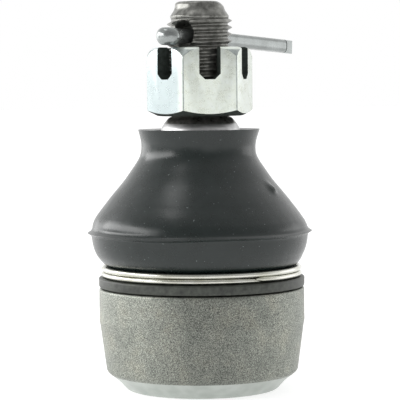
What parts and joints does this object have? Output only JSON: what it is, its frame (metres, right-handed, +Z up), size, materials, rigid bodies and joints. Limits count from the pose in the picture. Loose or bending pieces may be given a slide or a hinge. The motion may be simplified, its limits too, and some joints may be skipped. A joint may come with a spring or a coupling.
{
  "type": "tie rod end",
  "caption": "Steering tie rod end: a ball stud with castle nut and cotter pin tilts and turns in a forged socket under a rubber dust boot, with a threaded shank behind.",
  "frame": {"origin": "centre of the end cover's flat bottom face, on the stud's axis, level with the rolled lip that the part stands on", "axes": "+Z up along the stud at rest, +Y out along the threaded shank, +X to the right when looking along +Y"},
  "size_m": [0.0414, 0.1092, 0.0717],
  "materials": {
    "forged_steel": "shot-blasted forging, matte grey with fine grain; the rolled bottom lip is smooth",
    "stud_steel": "dark phosphated thread and neck, bright ground taper and ball",
    "bearing_plastic": "smooth moulded, greased",
    "plate_steel": "stamped, satin",
    "spring_steel": "oiled spring wire",
    "cover_steel": "pressed plate, satin",
    "boot_rubber": "black moulded rubber, satin",
    "ring_wire": "bright drawn wire, faintly yellow",
    "neck_ring_steel": "satin",
    "zinc_plate": "bright zinc plating with a faint blue cast",
    "pin_steel": "drawn half-round wire, satin"
  },
  "bodies": {
    "housing": {"socket_housing": "forged_steel", "upper_bearing": "bearing_plastic", "lower_bearing": "bearing_plastic", "pressure_plate": "plate_steel", "preload_spring": "spring_steel", "end_cover": "cover_steel", "boot_retaining_ring": "ring_wire"},
    "boot": {"dust_boot": "boot_rubber"},
    "boot_collar": {"boot_neck_ring": "neck_ring_steel"},
    "stud": {"ball_stud": "stud_steel"},
    "nut": {"castle_nut": "zinc_plate"},
    "pin": {"cotter_pin": "pin_steel"}
  },
  "joints": [
    {"name": "stud_pitch", "type": "hinge", "parent": "housing", "child": "boot", "pos_m": [0, 0, 0.0175], "axis": [1, 0, 0], "range_deg": [-18, 18], "deforming": ["dust_boot"]},
    {"name": "stud_roll", "type": "hinge", "parent": "boot", "child": "boot_collar", "pos_m": [0, 0, 0.0175], "axis": [0, 1, 0], "range_deg": [-18, 18], "deforming": ["dust_boot"]},
    {"name": "stud_spin", "type": "hinge", "parent": "boot_collar", "child": "stud", "pos_m": [0, 0, 0.0175], "axis": [0, 0, 1], "continuous": true},
    {"name": "nut_turn", "type": "hinge", "parent": "stud", "child": "nut", "pos_m": [0, 0, 0.0511], "axis": [0, 0, 1], "range_deg": [-180, 60]},
    {"name": "pin_pull", "type": "slide", "parent": "stud", "child": "pin", "axis": [-0.6038, -0.7954, 0.0523], "range_m": [0, 0.042]}
  ]
}
